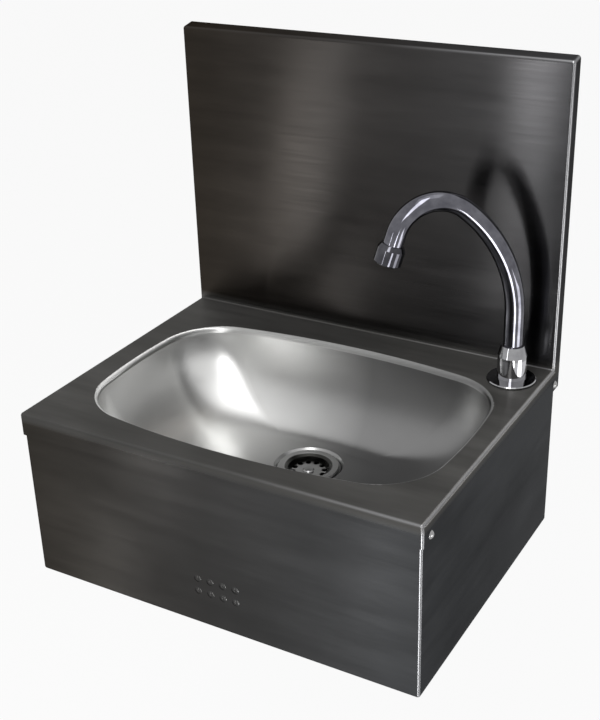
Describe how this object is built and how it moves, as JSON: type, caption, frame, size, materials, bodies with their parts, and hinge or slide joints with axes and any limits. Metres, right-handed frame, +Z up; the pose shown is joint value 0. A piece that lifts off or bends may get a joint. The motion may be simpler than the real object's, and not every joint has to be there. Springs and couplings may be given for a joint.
{
  "type": "wall-hung hand wash sink",
  "caption": "Wall-hung stainless hand wash sink with high splashback, pressed bowl, swivelling swan-neck spout and a knee-pushed front cover that opens a self-closing valve.",
  "frame": {"origin": "on the wall plane, in the middle of the rectangle of the four wall fixing slots; the deck's top is 60 mm above it", "axes": "+Z up, +X to the right of someone who faces the sink, +Y into the wall; the bowl and the user are towards -Y"},
  "size_m": [0.4044, 0.308, 0.4631],
  "materials": {
    "sheet_steel": "cold rolled stainless sheet, bright satin",
    "bowl_steel": "pressed stainless steel, satin",
    "plate_steel": "mill finish stainless sheet",
    "fastener_steel": "plain stainless, turned",
    "spring_steel": "drawn spring wire",
    "tap_chrome": "polished chrome plate",
    "valve_chrome": "chrome plated brass",
    "valve_brass": "turned brass",
    "pipe_steel": "bright drawn stainless tube",
    "seal_rubber": "black moulded rubber",
    "slide_plastic": "white acetal",
    "aerator_plastic": "dark grey moulded plastic"
  },
  "bodies": {
    "sink": {"deck_and_splashback": "sheet_steel", "bowl": "bowl_steel", "back_plate": "plate_steel", "valve_bracket": "plate_steel", "bracket_studs": "fastener_steel", "bracket_nuts": "fastener_steel", "cover_screws": "fastener_steel", "cover_bushes": "slide_plastic", "cover_washers": "slide_plastic", "cover_nuts": "fastener_steel", "valve_body": "valve_brass", "valve_ring_nut": "valve_chrome", "return_spring": "spring_steel", "mixing_block": "valve_brass", "union_nut": "valve_brass", "mixing_spindle": "valve_brass", "inlet_cold": "valve_brass", "inlet_hot": "valve_brass", "pipe_nut_valve": "valve_chrome", "pipe_olive_valve": "valve_brass", "pipe_nut_tap": "valve_chrome", "pipe_olive_tap": "valve_brass", "outlet_pipe": "pipe_steel", "tap_gasket": "seal_rubber", "tap_flange": "tap_chrome", "tap_body": "tap_chrome", "tap_shank": "valve_brass", "tap_under_seal": "seal_rubber", "tap_washer": "fastener_steel", "tap_back_nut": "valve_brass", "swivel_nut": "tap_chrome", "waste_body": "bowl_steel", "waste_grid": "bowl_steel", "waste_screw": "bowl_steel", "waste_flange_seal": "seal_rubber", "waste_under_seal": "seal_rubber", "waste_washer": "slide_plastic", "waste_back_nut": "valve_brass"},
    "knee_cover": {"knee_cover": "sheet_steel", "push_channel": "plate_steel", "push_pad": "seal_rubber"},
    "plunger": {"valve_plunger": "valve_chrome"},
    "spout": {"spout_tube": "tap_chrome", "spout_foot": "valve_brass", "spout_rings": "seal_rubber", "aerator_housing": "tap_chrome", "aerator_insert": "aerator_plastic", "aerator_seal": "seal_rubber"}
  },
  "joints": [
    {"name": "cover_push", "type": "slide", "parent": "sink", "child": "knee_cover", "axis": [0, 1, 0], "range_m": [0, 0.005]},
    {"name": "plunger_push", "type": "slide", "parent": "sink", "child": "plunger", "axis": [0, 1, 0], "range_m": [0, 0.005], "stiffness_N_per_m": 2000, "springref_m": -0.01, "deforming": ["return_spring"]},
    {"name": "spout_swivel", "type": "hinge", "parent": "sink", "child": "spout", "pos_m": [0.17, -0.048, 0.07], "axis": [0, 0, 1], "range_deg": [-40, 148]}
  ],
  "couplings": [
    {"joint": "plunger_push", "follows": "cover_push", "ratio": 1}
  ]
}
